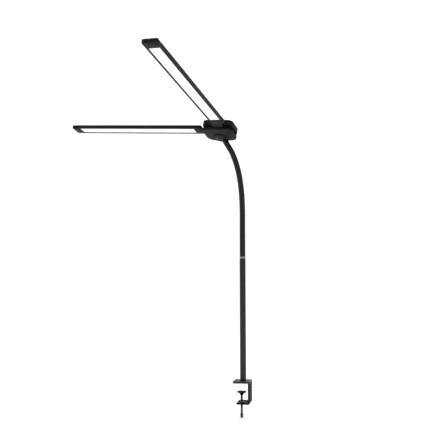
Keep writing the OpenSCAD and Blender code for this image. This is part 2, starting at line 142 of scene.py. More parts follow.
JOINTS = [Vector((0, 0, FIRST_JOINT))]
for k in range(5):
    JOINTS.append(JOINTS[-1] + LINK * lean_dir(k))
NECK_END = JOINTS[-1] + LAST_LINK * lean_dir(5)

HEAD_TURN = (Matrix.Rotation(math.radians(6.7), 4, "Y") @ Matrix.Rotation(math.radians(-8.4), 4, "X")
             @ Matrix.Rotation(math.radians(-8.7), 4, "Z"))
HEAD = Matrix.Translation((NECK_END - HEAD_TURN @ NECK_IN_HEAD) * MM) @ HEAD_TURN
BAR = {1: HEAD @ Matrix.Rotation(math.radians(180), 4, "Z"),
       2: HEAD @ Matrix.Rotation(math.radians(267), 4, "Z")}
SCREW_AXIS = Matrix.Translation((SCREW_X * MM, 0, 0))
LAST_LINK_PLACE = (Matrix.Translation(JOINTS[5] * MM)
                   @ Matrix.Rotation(math.radians(-LEANS[5]), 4, "Y"))
TOMMY = (Matrix.Translation((SCREW_X * MM, 0, TOMMY_Z * MM))
         @ Matrix.Rotation(math.radians(TOMMY_TURN), 4, "Z")
         @ Matrix.Rotation(math.radians(90), 4, "X"))


# ---------- modelling ----------

def deselect():
    bpy.ops.object.select_all(action="DESELECT")


def pick(piece):
    deselect()
    piece.select_set(True)
    bpy.context.view_layer.objects.active = piece


def take(name):
    """The object that an operator has just added, under its own name."""
    piece = bpy.context.object
    piece.name = piece.data.name = name
    return piece


def choose(piece, kind, test):
    """Goes into edit mode with only the faces, edges or points that pass the test selected."""
    pick(piece)
    bpy.ops.object.mode_set(mode="EDIT")
    bpy.ops.mesh.select_mode(type=kind)
    bpy.ops.mesh.select_all(action="DESELECT")
    mesh = bmesh.from_edit_mesh(piece.data)
    for item in {"FACE": mesh.faces, "EDGE": mesh.edges, "VERT": mesh.verts}[kind]:
        if test(item):
            item.select_set(True)
    bmesh.update_edit_mesh(piece.data)


def leave():
    bpy.ops.object.mode_set(mode="OBJECT")


def on(item, axis, value):
    """Whether the whole face or edge lies in the plane where that coordinate is value millimetres."""
    return all(abs(v.co[axis] - value * MM) < 1e-5 for v in item.verts)


def runs(edge, axis):
    a, b = (v.co for v in edge.verts)
    return abs((b - a)[axis]) > 0.99 * (b - a).length


def block(name, low, high):
    deselect()
    middle = [(a + b) / 2 * MM for a, b in zip(low, high)]
    bpy.ops.mesh.primitive_cube_add(size=1, location=middle)
    piece = take(name)
    piece.scale = [(b - a) * MM for a, b in zip(low, high)]
    bpy.ops.object.transform_apply(location=True, rotation=True, scale=True)
    return piece


def round_edges(piece, test, radius, steps=4):
    choose(piece, "EDGE", test)
    bpy.ops.mesh.bevel(offset=radius * MM, segments=steps, profile=0.5, affect="EDGES")
    leave()


def push_faces(piece, test, move):
    """Extrudes the faces that pass the test by move, in millimetres."""
    choose(piece, "FACE", test)
    bpy.ops.mesh.extrude_region_move(TRANSFORM_OT_translate={"value": [m * MM for m in move]})
    leave()


def tidy(piece):
    choose(piece, "VERT", lambda v: True)
    bpy.ops.mesh.remove_doubles(threshold=1e-6)
    bpy.ops.mesh.normals_make_consistent(inside=False)
    leave()


def turned(name, outline, steps=64, hollow=False):
    """A piece turned about Z: a circle is extruded and resized through (radius, height) pairs.
    A hollow one comes back to its first pair, so its wall closes on itself."""
    deselect()
    radius, height = outline[0]
    bpy.ops.mesh.primitive_circle_add(vertices=steps, radius=radius * MM, location=(0, 0, height * MM),
                                      fill_type="NOTHING" if hollow else "NGON")
    piece = take(name)
    bpy.ops.object.transform_apply(location=True)
    choose(piece, "EDGE" if hollow else "FACE", lambda item: True)
    for r, z in outline[1:] + (outline[:1] if hollow else []):
        bpy.ops.mesh.extrude_region_move(TRANSFORM_OT_translate={"value": (0, 0, (z - height) * MM)})
        bpy.ops.transform.resize(value=(r / radius, r / radius, 1), center_override=(0, 0, 0))
        radius, height = r, z
    leave()
    tidy(piece)
    return piece


def modify(piece, kind, **settings):
    pick(piece)
    modifier = piece.modifiers.new(kind.title(), kind)
    for name, value in settings.items():
        setattr(modifier, name, value)
    bpy.ops.object.modifier_apply(modifier=modifier.name)


def soften(piece, width=0.4, steps=2, angle=35):
    modify(piece, "BEVEL", width=width * MM, segments=steps, limit_method="ANGLE",
           angle_limit=math.radians(angle))


def cut(piece, *cutters):
    for cutter in cutters:
        modify(piece, "BOOLEAN", object=cutter, operation="DIFFERENCE", solver="EXACT")
        bpy.data.objects.remove(cutter)


def join(first, *others):
    pick(first)
    for other in others:
        other.select_set(True)
    bpy.ops.object.join()
    return first


def place(piece, matrix):
    pick(piece)
    piece.matrix_world = matrix @ piece.matrix_world
    bpy.ops.object.transform_apply(location=True, rotation=True, scale=True)
    return piece


def copy_to(piece, matrix):
    twin = piece.copy()
    twin.data = piece.data.copy()
    bpy.context.scene.collection.objects.link(twin)
    return place(twin, matrix)


def dress(piece, material, angle=30):
    pick(piece)
    bpy.ops.object.shade_smooth_by_angle(angle=math.radians(angle))
    piece.data.materials.clear()
    piece.data.materials.append(material)


def hand_in(piece, body, material, slot, *nodes):
    """Finishes a piece that moves with one body and stands for these CAD nodes."""
    dress(piece, material)
    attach(piece, body)
    if nodes:
        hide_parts(*nodes)


# ---------- finishes ----------
# Several finishes have a specular level below the usual 0.5, some of them far below. Those levels are
# chosen because in an all-white room a glancing reflection turned thin dark edges pale.

def linear(code):
    """An sRGB hex colour as the linear colour a shader takes."""
    values = [int(code[i:i + 2], 16) / 255 for i in (1, 3, 5)]
    return [v / 12.92 if v <= 0.04045 else ((v + 0.055) / 1.055) ** 2.4 for v in values] + [1.0]


def add(tree, kind, inputs=None, links=None, **settings):
    """Adds a node, sets it, fills its sockets and links them to (node, output) pairs."""
    node = tree.nodes.new(kind)
    for name, value in settings.items():
        setattr(node, name, value)
    for name, value in (inputs or {}).items():
        node.inputs[name].default_value = value
    for name, (source, output) in (links or {}).items():
        tree.links.new(source.outputs[output], node.inputs[name])
    return node


def new_finish(name, **shader):
    """A material with one surface shader, whose plain values are set on its own sockets."""
    material = bpy.data.materials.new(name)
    material.use_nodes = True
    tree = material.node_tree
    tree.nodes.clear()
    surface = add(tree, "ShaderNodeBsdfPrincipled", {key.replace("_", " "): v for key, v in shader.items()})
    add(tree, "ShaderNodeOutputMaterial", links={"Surface": (surface, "BSDF")})
    spot = add(tree, "ShaderNodeTexCoord")
    return material, tree, surface, spot


def speckle(tree, spot, grain, detail=3.0, stretch=(1, 1, 1)):
    """Noise whose blotches are grain millimetres across, drawn out along an axis whose stretch is below 1."""
    mapping = add(tree, "ShaderNodeMapping", {"Scale": stretch}, {"Vector": (spot, "Object")})
    return add(tree, "ShaderNodeTexNoise", {"Scale": 1 / (grain * MM), "Detail": detail},
               {"Vector": (mapping, "Vector")})


def two_tone(tree, surface, noise, dark, light, low=0.35, high=0.65):
    """Runs the colour from dark to light as the noise rises."""
    ramp = add(tree, "ShaderNodeValToRGB", links={"Fac": (noise, "Fac")})
    ramp.color_ramp.elements[0].position = low
    ramp.color_ramp.elements[0].color = linear(dark)
    ramp.color_ramp.elements[1].position = high
    ramp.color_ramp.elements[1].color = linear(light)
    tree.links.new(ramp.outputs["Color"], surface.inputs["Base Color"])


def uneven_gloss(tree, surface, noise, low, high):
    """Runs the roughness from low to high as the noise rises."""
    spread = add(tree, "ShaderNodeMapRange",
                 {"From Min": 0.3, "From Max": 0.7, "To Min": low, "To Max": high},
                 {"Value": (noise, "Fac")})
    tree.links.new(spread.outputs["Result"], surface.inputs["Roughness"])


def relief(tree, surface, noise, depth, strength=0.5):
    """Turns the noise into bumps depth millimetres high."""
    bump = add(tree, "ShaderNodeBump", {"Distance": depth * MM, "Strength": strength},
               {"Height": (noise, "Fac")})
    tree.links.new(bump.outputs["Normal"], surface.inputs["Normal"])


def powder_coat():
    # Black polyester powder baked on a steel plate: an even, slightly pebbled satin black
    material, tree, surface, spot = new_finish("powder_coat_on_steel", IOR=1.5)
    pebble = speckle(tree, spot, 1.1, 2.0)
    two_tone(tree, surface, speckle(tree, spot, 9.0), "#1b1b1a", "#222221")
    uneven_gloss(tree, surface, pebble, 0.42, 0.58)
    relief(tree, surface, pebble, 0.05)
    # Chosen, and not a trait of the coat: the gloss is full from 4 mm above the desk and fades to
    # almost none at the desk's level. An export leaves this fade out, because the level is linked.
    axes = add(tree, "ShaderNodeSeparateXYZ", links={"Vector": (spot, "Object")})
    fade = add(tree, "ShaderNodeMapRange",
               {"From Min": 0.0, "From Max": 0.004, "To Min": 0.02, "To Max": 0.6},
               {"Value": (axes, "Z")})
    tree.links.new(fade.outputs["Result"], surface.inputs["Specular IOR Level"])
    return material


def pole_paint():
    # Satin warm-black paint on aluminium tube, with faint draw lines along the tube
    material, tree, surface, spot = new_finish("satin_paint_on_tube", IOR=1.5, Specular_IOR_Level=0.4,
                                               Coat_Weight=0.1, Coat_Roughness=0.3)
    lines = speckle(tree, spot, 0.9, 2.0, (1, 1, 0.02))
    two_tone(tree, surface, speckle(tree, spot, 14.0), "#171714", "#1c1c18")
    uneven_gloss(tree, surface, lines, 0.36, 0.46)
    relief(tree, surface, lines, 0.012, 0.4)
    return material


def turned_aluminium():
    # Bare aluminium turned on a lathe: fine rings round the axis that spread the highlight
    material, tree, surface, spot = new_finish("turned_aluminium", Metallic=1.0, Anisotropic=0.4)
    rings = speckle(tree, spot, 0.5, 2.0, (0.03, 0.03, 1))
    two_tone(tree, surface, rings, "#a5a6a1", "#bebfba")
    uneven_gloss(tree, surface, rings, 0.3, 0.42)
    relief(tree, surface, rings, 0.01, 0.4)
    return material


def silicone_sleeve():
    # Black silicone rubber tube: soft and matte, with a little lint-grey bloom
    material, tree, surface, spot = new_finish("silicone_rubber", IOR=1.41, Specular_IOR_Level=0.4,
                                               Sheen_Weight=0.06, Sheen_Roughness=0.6)
    skin = speckle(tree, spot, 0.8, 3.0)
    two_tone(tree, surface, speckle(tree, spot, 7.0), "#121211", "#171716")
    uneven_gloss(tree, surface, skin, 0.4, 0.52)
    relief(tree, surface, skin, 0.02, 0.4)
    return material


def gloss_plastic():
    # Injection-moulded black ABS from a polished mould: glossy, with very slight flow marks
    material, tree, surface, spot = new_finish("polished_abs", IOR=1.53, Specular_IOR_Level=0.35)
    flow = speckle(tree, spot, 12.0, 2.0)
    two_tone(tree, surface, flow, "#080808", "#0b0b0b")
    uneven_gloss(tree, surface, flow, 0.2, 0.3)
    relief(tree, surface, speckle(tree, spot, 3.0, 1.0), 0.01, 0.3)
    return material


def textured_plastic(name, dark, light, low, high):
    # Injection-moulded ABS from a spark-eroded mould: matte with a fine leather-like grain, which
    # paint on a die casting has too
    material, tree, surface, spot = new_finish(name, IOR=1.53, Specular_IOR_Level=0.08)
    grain = speckle(tree, spot, 0.7, 3.0)
    two_tone(tree, surface, speckle(tree, spot, 6.0, 5.0), dark, light)
    uneven_gloss(tree, surface, grain, low, high)
    relief(tree, surface, grain, 0.04, 0.45)
    return material


def anodised_bar():
    # Black anodised extrusion: a fine etched grain, wider than it is high, under a thin hard skin that
    # is dyed through and so shows hardly any metal
    material, tree, surface, spot = new_finish("anodised_aluminium", Metallic=0.08, IOR=1.5,
                                               Specular_IOR_Level=0.12)
    grain = speckle(tree, spot, 1 / 1.4, 2.0, (0.6, 0.6, 1))
    two_tone(tree, surface, speckle(tree, spot, 16.0), "#151515", "#1a1a1a")
    uneven_gloss(tree, surface, grain, 0.38, 0.5)
    relief(tree, surface, grain, 0.01, 0.4)
    return material


def opal_panel():
    # Opal acrylic in front of a row of LEDs: an even bright white with a faint glow of its own
    material, tree, surface, spot = new_finish("opal_acrylic", IOR=1.49, Emission_Strength=0.15,
                                               Subsurface_Weight=0.2, Subsurface_Scale=0.002)
    cloud = speckle(tree, spot, 25.0, 2.0)
    two_tone(tree, surface, cloud, "#f2f2ee", "#f8f8f5")
    uneven_gloss(tree, surface, cloud, 0.3, 0.4)
    surface.inputs["Emission Color"].default_value = linear("#fffefa")
    return material


def machined_steel(name, dark, light, low, high, metallic=1.0):
    # Steel that is zinc-plated, wound or blackened: cool grey, with small patches that are duller than
    # the rest. The skin on blackened steel isn't a metal, so its metallic is 0
    material, tree, surface, spot = new_finish(name, Metallic=metallic, Specular_IOR_Level=0.1)
    patch = speckle(tree, spot, 2.5, 4.0)
    two_tone(tree, surface, patch, dark, light)
    uneven_gloss(tree, surface, patch, low, high)
    relief(tree, surface, speckle(tree, spot, 0.6, 2.0), 0.01, 0.3)
    return material


def soft_rubber():
    # Moulded nitrile rubber: dull and slightly grainy
    material, tree, surface, spot = new_finish("nitrile_rubber", IOR=1.52)
    grain = speckle(tree, spot, 0.9, 3.0)
    two_tone(tree, surface, speckle(tree, spot, 5.0), "#0c0c0c", "#121212")
    uneven_gloss(tree, surface, grain, 0.68, 0.82)
    relief(tree, surface, grain, 0.05, 0.5)
    return material


def touch_glass():
    # A back-painted glass strip: black with a clear polished skin
    material, tree, surface, spot = new_finish("back_painted_glass", IOR=1.5, Coat_Weight=0.6,
                                               Coat_Roughness=0.05)
    haze = speckle(tree, spot, 8.0, 3.0)
    two_tone(tree, surface, haze, "#060607", "#090a0b")
    uneven_gloss(tree, surface, haze, 0.06, 0.12)
    relief(tree, surface, speckle(tree, spot, 4.0, 1.0), 0.004, 0.2)
    return material


def printed_marks():
    # Pale grey silk-screen ink
    material, tree, surface, spot = new_finish("silk_screen_ink", IOR=1.5)
    ink = speckle(tree, spot, 0.6, 2.0)
    two_tone(tree, surface, ink, "#a8aaa8", "#bcbebc")
    uneven_gloss(tree, surface, ink, 0.45, 0.6)
    return material


def solder_mask():
    # Green solder mask on glass-fibre laminate, with the weave just visible
    material, tree, surface, spot = new_finish("solder_mask", IOR=1.55)
    weave = speckle(tree, spot, 0.5, 1.0)
    two_tone(tree, surface, weave, "#17452b", "#1f5c35")
    uneven_gloss(tree, surface, weave, 0.28, 0.4)
    relief(tree, surface, weave, 0.01, 0.4)
    return material


def white_resin(name, dark, light):
    # White-filled resin or nylon: bright and dull
    material, tree, surface, spot = new_finish(name, IOR=1.5)
    grain = speckle(tree, spot, 1.2, 3.0)
    two_tone(tree, surface, grain, dark, light)
    uneven_gloss(tree, surface, grain, 0.45, 0.6)
    relief(tree, surface, grain, 0.01, 0.3)
    return material


powder = powder_coat()
paint = pole_paint()
ring_metal = turned_aluminium()
silicone = silicone_sleeve()
gloss = gloss_plastic()
hub_abs = textured_plastic("spark_eroded_abs", "#1b1c18", "#22231e", 0.5, 0.64)
bar_abs = textured_plastic("fine_grain_abs", "#131413", "#181918", 0.44, 0.56)
die_cast = textured_plastic("painted_die_casting", "#0a0a0a", "#0e0e0d", 0.5, 0.62)
anodised = anodised_bar()
opal = opal_panel()
screw_steel = machined_steel("blackened_steel", "#484844", "#54544f", 0.46, 0.58, 0.0)
bright_steel = machined_steel("zinc_plated_steel", "#84857f", "#9b9c96", 0.28, 0.42)
hose_steel = machined_steel("wound_steel_hose", "#5a5a56", "#6e6e69", 0.35, 0.5)
rubber = soft_rubber()
glass = touch_glass()
ink = printed_marks()
board_green = solder_mask()
board_white = white_resin("white_solder_mask", "#dcdcd4", "#eaeae2")
nylon = white_resin("natural_nylon", "#bdb9a8", "#cdc9b9")
phosphor = white_resin("led_phosphor", "#e3cf62", "#f0dd7c")


# ---------- clamp ----------

def bracket():
    inside, underside = CLAMP_BACK - PLATE, LOW_JAW_TOP - PLATE
    plate = block("bracket", (-UPPER_REACH, -CLAMP_HALF, JAW_LOW), (inside, CLAMP_HALF, JAW_HIGH))
    push_faces(plate, lambda f: on(f, 0, inside), (PLATE, 0, 0))
    push_faces(plate, lambda f: on(f, 2, JAW_LOW) and f.calc_center_median().x > inside * MM,
               (0, 0, LOW_JAW_TOP - JAW_LOW))
    push_faces(plate, lambda f: on(f, 2, LOW_JAW_TOP), (0, 0, -PLATE))
    push_faces(plate, lambda f: on(f, 0, inside) and f.calc_center_median().z < LOW_JAW_TOP * MM,
               (-LOWER_REACH - inside, 0, 0))
    round_edges(plate, lambda e: runs(e, 2) and (on(e, 0, -UPPER_REACH) or on(e, 0, -LOWER_REACH)),
                JAW_CORNER, 8)
    round_edges(plate, lambda e: runs(e, 1) and on(e, 0, CLAMP_BACK)
                and (on(e, 2, JAW_HIGH) or on(e, 2, underside)), BEND_OUTSIDE, 8)
    round_edges(plate, lambda e: runs(e, 1) and on(e, 0, inside)
                and (on(e, 2, JAW_LOW) or on(e, 2, LOW_JAW_TOP)), BEND_INSIDE, 3)
    bore = turned("bore", [(5.55, underside - 2), (5.55, LOW_JAW_TOP + 2)], 48)
    cut(plate, place(bore, SCREW_AXIS))
    soften(plate, 0.45, 3)
    hand_in(plate, "clamp", powder, "clamp_paint", "clamp_bracket")


def jaw_rubber():
    pad = block("jaw_rubber", (-UPPER_REACH + 1, -CLAMP_HALF + 1, 0),
                (CLAMP_BACK - PLATE - 1, CLAMP_HALF - 1, JAW_LOW))
    round_edges(pad, lambda e: runs(e, 2), 3, 6)
    choose(pad, "FACE", lambda f: on(f, 2, 0))
    bpy.ops.mesh.inset(thickness=1.2 * MM)
    bpy.ops.mesh.inset(thickness=0.6 * MM, depth=-0.35 * MM)
    leave()
    soften(pad, 0.2, 2)
    hand_in(pad, "clamp", rubber, "pad_rubber", "jaw_pad")


def bushing():
    low = LOW_JAW_TOP - PLATE
    ring = turned("thread_bushing", [(BUSH_BORE, low), (4.6, low), (5.5, low + 0.5), (5.5, LOW_JAW_TOP - 0.3),
                                     (5.2, LOW_JAW_TOP), (3.5, LOW_JAW_TOP),
                                     (BUSH_BORE, LOW_JAW_TOP - 0.4)], 48, True)
    hand_in(place(ring, SCREW_AXIS), "clamp", bright_steel, "bright_steel", "screw_bushing")


def foot_ring():
    low, high = JAW_HIGH, JAW_HIGH + 0.4
    ring = turned("foot_ring", [(4.1, low), (7.7, low), (7.9, low + 0.1), (7.9, high - 0.1), (7.7, high),
                                (4.1, high)], 64, True)
    hand_in(ring, "clamp", gloss, "black_plastic", "foot_washer")


def pressure_pad():
    plate = turned("pressure_plate_round", [(2.6, PAD_SEAM - 8.4), (4.0, PAD_SEAM - 8.5),
                                            (4.4, PAD_SEAM - 8.1), (6.8, PAD_SEAM - 2.7),
                                            (7.4, PAD_SEAM - 2.3), (11.4, PAD_SEAM - 2.2),
                                            (12.0, PAD_SEAM - 1.6), (12.0, PAD_SEAM - 0.5),
                                            (11.6, PAD_SEAM), (2.0, PAD_SEAM)], 64)
    hand_in(place(plate, SCREW_AXIS), "pad", gloss, "black_plastic", "pressure_plate")
    groove = PAD_TOP - 0.3
    cap = turned("pressure_rubber", [(2.0, PAD_SEAM), (11.5, PAD_SEAM), (11.6, PAD_SEAM + 0.2),
                                     (11.6, PAD_TOP - 0.5), (11.1, PAD_TOP), (9.5, PAD_TOP), (9.2, groove),
                                     (8.2, groove), (7.9, PAD_TOP), (2.0, PAD_TOP)], 64)
    hand_in(place(cap, SCREW_AXIS), "pad", rubber, "pad_rubber", "pad_rubber")


def thread():
    """One turn's outline of the thread, drawn up the shaft by a screw modifier."""
    deselect()
    bpy.ops.mesh.primitive_plane_add(size=THREAD_PITCH * MM, location=(THREAD_R * MM, 0, THREAD_FROM * MM),
                                     rotation=(math.radians(90), 0, 0))
    shaft = take("screw_shaft")
    bpy.ops.object.transform_apply(location=True, rotation=True)
    choose(shaft, "VERT", lambda v: v.co.x > THREAD_R * MM)
    bpy.ops.mesh.delete(type="VERT")
    bpy.ops.mesh.select_all(action="SELECT")
    bpy.ops.mesh.subdivide(number_cuts=4)
    mesh = bmesh.from_edit_mesh(shaft.data)
    points = sorted(mesh.verts, key=lambda v: v.co.z)
    rising = (THREAD_ROOT, THREAD_FLANK, THREAD_R)
    for point, radius in zip(points, rising + rising[::-1]):
        point.co.x = radius * MM
    bmesh.update_edit_mesh(shaft.data)
    leave()
    turns = int((THREAD_TO - THREAD_FROM) / THREAD_PITCH)
    modify(shaft, "SCREW", screw_offset=THREAD_PITCH * MM, iterations=turns, steps=20, render_steps=20,
           use_merge_vertices=True, merge_threshold=1e-6)
    tidy(shaft)
    for low in (True, False):
        middle = (SCREW_TIP + SCREW_END) / 2 * MM
        choose(shaft, "EDGE", lambda e: e.is_boundary and (e.verts[0].co.z < middle) == low)
        bpy.ops.mesh.edge_face_add()
        leave()
    tidy(shaft)
    return shaft


def clamp_screw():
    shaft = thread()
    tip = turned("screw_tip", [(2.5, THREAD_TO - 0.8), (2.5, SCREW_TIP - 0.6), (1.9, SCREW_TIP)], 32)
    hand_in(place(join(shaft, tip), SCREW_AXIS), "screw", screw_steel, "screw_steel", "clamp_screw")
    top = SCREW_END + 12
    head = turned("screw_head", [(3.0, SCREW_END), (3.6, SCREW_END + 0.4), (KNOB_R, SCREW_END + 1),
                                 (KNOB_R, top - 1), (3.5, top - 0.3), (3.1, top), (3.0, top + 0.8)], 48)
    hole = turned("hole", [(TOMMY_R + 0.05, -6), (TOMMY_R + 0.05, 6)], 32)
    place(head, SCREW_AXIS)
    cut(head, place(hole, TOMMY))
    hand_in(head, "screw", screw_steel, "screw_steel")


def tommy_bar():
    bar = turned("tommy_rod", [(1.3, -TOMMY_HALF), (TOMMY_R, 0.4 - TOMMY_HALF), (TOMMY_R, TOMMY_HALF - 0.4),
                               (1.3, TOMMY_HALF)], 32)
    hand_in(place(bar, TOMMY), "screw", screw_steel, "screw_steel", "tommy_bar")
    cap = turned("tommy_cap", [(TOMMY_R + 0.05, 16.0), (2.1, 16.0), (2.35, 16.4), (2.4, 17.5), (2.4, 19.4),
                               (2.2, 20.3), (1.6, 20.8), (0.8, 21.0)], 32)
    twin = copy_to(cap, Matrix.Rotation(math.pi, 4, "X"))
    twin.name = "tommy_cap_far"
    join(cap, twin)
    hand_in(place(cap, TOMMY), "screw", gloss, "black_plastic", "bar_caps")


# ---------- pole ----------

INLET = Matrix.Translation((0, 0, INLET_Z * MM)) @ Matrix.Rotation(math.radians(-90), 4, "X")


def pole():
    tube = turned("pole_tube", [(POLE_BORE, POLE_FOOT), (POLE_R - 0.2, POLE_FOOT), (POLE_R, POLE_FOOT + 0.2),
                                (POLE_R, 120), (POLE_R, 220), (POLE_R, POLE_TOP - 0.25),
                                (POLE_R - 0.25, POLE_TOP), (POLE_BORE, POLE_TOP)], 96, True)
    cut(tube, place(turned("hole", [(4.05, 5), (4.05, 10)], 48), INLET))
    hand_in(tube, "pole", paint, "pole_paint", "lower_pole")


def inlet():
    socket = turned("power_socket", [(2.8, 1.0), (4.0, 1.0), (4.0, 8.2), (3.8, 8.55), (3.3, 8.6),
                                     (2.8, 8.2)], 48, True)
    pin = turned("socket_pin", [(0.9, -0.5), (0.9, 6.9), (0.5, 7.3)], 24)
    floor = turned("socket_floor", [(2.9, 1.0), (2.9, 2.0)], 32)
    hand_in(place(join(socket, pin, floor), INLET), "pole", gloss, "black_plastic", "power_inlet")


def ring():
    band = turned("pole_ring", [(4.6, POLE_TOP), (POLE_R - 0.3, POLE_TOP), (POLE_R, POLE_TOP + 0.3),
                                (POLE_R, NECK_FOOT - 0.3), (POLE_R - 0.3, NECK_FOOT), (4.6, NECK_FOOT)],
                  96, True)
    hand_in(band, "pole", ring_metal, "ring_metal", "joint_ring")


# ---------- neck ----------


def lean_at(k):
    """The neck's lean at joint k, halfway between those of the links it joins."""
    return math.radians((LEANS[k - 1] + LEANS[k]) / 2 if k else 0)


def halfway(k):
    """The middle of the link between joints k and k + 1, on a smooth curve through both."""
    bow = (heading(lean_at(k)) - heading(lean_at(k + 1))) * LINK / 8
    middle = (JOINTS[k] + JOINTS[k + 1]) / 2 + bow
    slope = (1.5 * (JOINTS[k + 1] - JOINTS[k]) - (heading(lean_at(k)) + heading(lean_at(k + 1))) * LINK / 4)
    return middle, slope.normalized()


def sleeve(k):
    """The stretch of sleeve round joint k, from the middle of one link to the middle of the next. The
    first stretch starts at the ring on the pole, and the last ends inside the collar."""
    start = (Vector((0, 0, NECK_FOOT)), Vector((0, 0, 1))) if k == 0 else halfway(k - 1)
    end = (JOINTS[5] + SLEEVE_END * lean_dir(5), lean_dir(5)) if k == 5 else halfway(k)
    stops = [start, (JOINTS[k], heading(lean_at(k))), end]
    deselect()
    bpy.ops.curve.primitive_bezier_curve_add()
    tube = take(f"neck_sleeve_bend_{k}")
    line = tube.data.splines[0]
    line.bezier_points.add(1)
    for i, (point, slope) in enumerate(stops):
        knot = line.bezier_points[i]
        knot.handle_left_type = knot.handle_right_type = "FREE"
        before = (point - stops[max(i - 1, 0)][0]).length / 3
        after = (stops[min(i + 1, 2)][0] - point).length / 3
        knot.co = point * MM
        knot.handle_left = (point - slope * before) * MM
        knot.handle_right = (point + slope * after) * MM
    tube.data.resolution_u = 14
    tube.data.bevel_depth = NECK_R * MM
    tube.data.bevel_resolution = 18
    tube.data.twist_mode = "MINIMUM"
    tube.location = (0, 0, 0)
    bpy.ops.object.convert(target="MESH")
    tidy(tube)
    modify(tube, "SOLIDIFY", thickness=SLEEVE_WALL * MM, offset=-1)
    dress(tube, silicone)
    before = lean_dir(k - 1) if k else Vector((0, 0, 1))
    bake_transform(tube)
    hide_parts(f"neck_sleeve_{k}", f"neck_sleeve_{k + 1}")


def collar():
    cup = turned("neck_cup", [(6.1, 29.6), (7.3, 29.6), (7.7, 30.0), (7.7, COLLAR_END), (6.1, COLLAR_END)],
                 64, True)
    hand_in(place(cup, LAST_LINK_PLACE), "head", gloss, "collar_plastic", "neck_collar")


# ---------- hub ----------

def hub_block(name, low, high, inset=0.0):
    """The hub's rounded outline between two heights, drawn in all round by inset."""
    x0, x1 = HUB_X - HUB_W / 2 + inset, HUB_X + HUB_W / 2 - inset
    y0, y1 = HUB_NEAR + inset, HUB_NEAR + HUB_D - inset
    shell = block(name, (x0, y0, low), (x1, y1, high))
    round_edges(shell, lambda e: runs(e, 2) and on(e, 1, y0), HUB_NEAR_R - inset, 14)
    round_edges(shell, lambda e: runs(e, 2) and on(e, 1, y1), HUB_FAR_R - inset, 18)
    return shell


def neck_bore(radius):
    bore = turned("bore", [(radius, 24), (radius, 60)], 48)
    return place(bore, HEAD.inverted() @ LAST_LINK_PLACE)


def lower_shell():
    shell = hub_block("hub_floor", HUB_BOTTOM, SLOT_LOW)
    round_edges(shell, lambda e: on(e, 2, HUB_BOTTOM), 1.3, 4)
    disc = turned("hub_boss", [(BOSS_R - 3, -4.0), (BOSS_R, -4.6), (BOSS_R, -7.2), (BOSS_R - 0.3, -7.8),
                               (BOSS_R - 0.8, BOSS_BOTTOM), (2.0, BOSS_BOTTOM)], 72)
    place(disc, Matrix.Translation((BOSS_X * MM, BOSS_Y * MM, 0)))
    modify(shell, "BOOLEAN", object=disc, operation="UNION", solver="EXACT")
    bpy.data.objects.remove(disc)
    wells = [place(turned("well", [(2.7, BOSS_BOTTOM - 1), (2.7, BOSS_BOTTOM + 1.8)], 32),
                   Matrix.Translation((x * MM, y * MM, 0))) for x, y in HUB_SCREWS]
    sink = turned("sink", [(9.05, -2.65), (9.05, 1.0)], 48)
    cut(shell, neck_bore(7.75), sink, *wells)
    hand_in(place(shell, HEAD), "head", hub_abs, "hub_plastic", "hub_lower_shell")


def spine():
    """The pillar between the shells, with a dark wall that closes the slot's far right corner. That wall is
    painted shade: a dark sheet standing where the slot would only be in shadow.
    """
    pillar = block("hub_pillar", (PILLAR_X[0], PILLAR_Y[0], SLOT_LOW), (PILLAR_X[1], PILLAR_Y[1], SLOT_HIGH))
    round_edges(pillar, lambda e: runs(e, 2), 3, 8)
    # Painted shade: a dark wall in the spine's dark paint, put where the slot would only be in shadow
    shade_wing = hub_block("hub_shade_wing", SLOT_LOW, SLOT_HIGH, SHADE_WING_INSET)
    cut(shade_wing, block("left_of_shade_wing", (-60, -30, -5), (0, 60, 15)),
        block("near_of_shade_wing", (-60, -30, -5), (60, SHADE_WING_Y, 15)))
    modify(pillar, "BOOLEAN", object=shade_wing, operation="UNION", solver="EXACT")
    bpy.data.objects.remove(shade_wing)
    hand_in(place(pillar, HEAD), "head", die_cast, "spine_metal", "hub_spine")


def upper_shell():
    shell = hub_block("hub_body", SLOT_HIGH, COVER_LOW)
    round_edges(shell, lambda e: on(e, 2, SLOT_HIGH), 0.8, 3)
    choose(shell, "FACE", lambda f: on(f, 2, COVER_LOW))
    bpy.ops.mesh.inset(thickness=2.2 * MM)
    depth = (SLOT_HIGH + 2 - COVER_LOW) * MM
    bpy.ops.mesh.extrude_region_move(TRANSFORM_OT_translate={"value": (0, 0, depth)})
    leave()
    soften(shell, 0.25, 2, 60)
    hand_in(place(shell, HEAD), "head", hub_abs, "hub_plastic", "hub_upper_shell")


def top_cover():
    cover = hub_block("hub_cover", COVER_LOW + 0.02, HUB_TOP)
    round_edges(cover, lambda e: on(e, 2, HUB_TOP), 1.7, 6)
    gap = 0.1
    seat = block("seat", (HUB_X + STRIP_X[0] - gap, STRIP_Y[0] - gap, HUB_TOP - 0.8),
                 (HUB_X + STRIP_X[1] + gap, STRIP_Y[1] + gap, HUB_TOP + 1))
    round_edges(seat, lambda e: runs(e, 2), STRIP_R + gap / 2, 8)
    cut(cover, seat)
    hand_in(place(cover, HEAD), "head", hub_abs, "hub_plastic", "hub_top_cover")


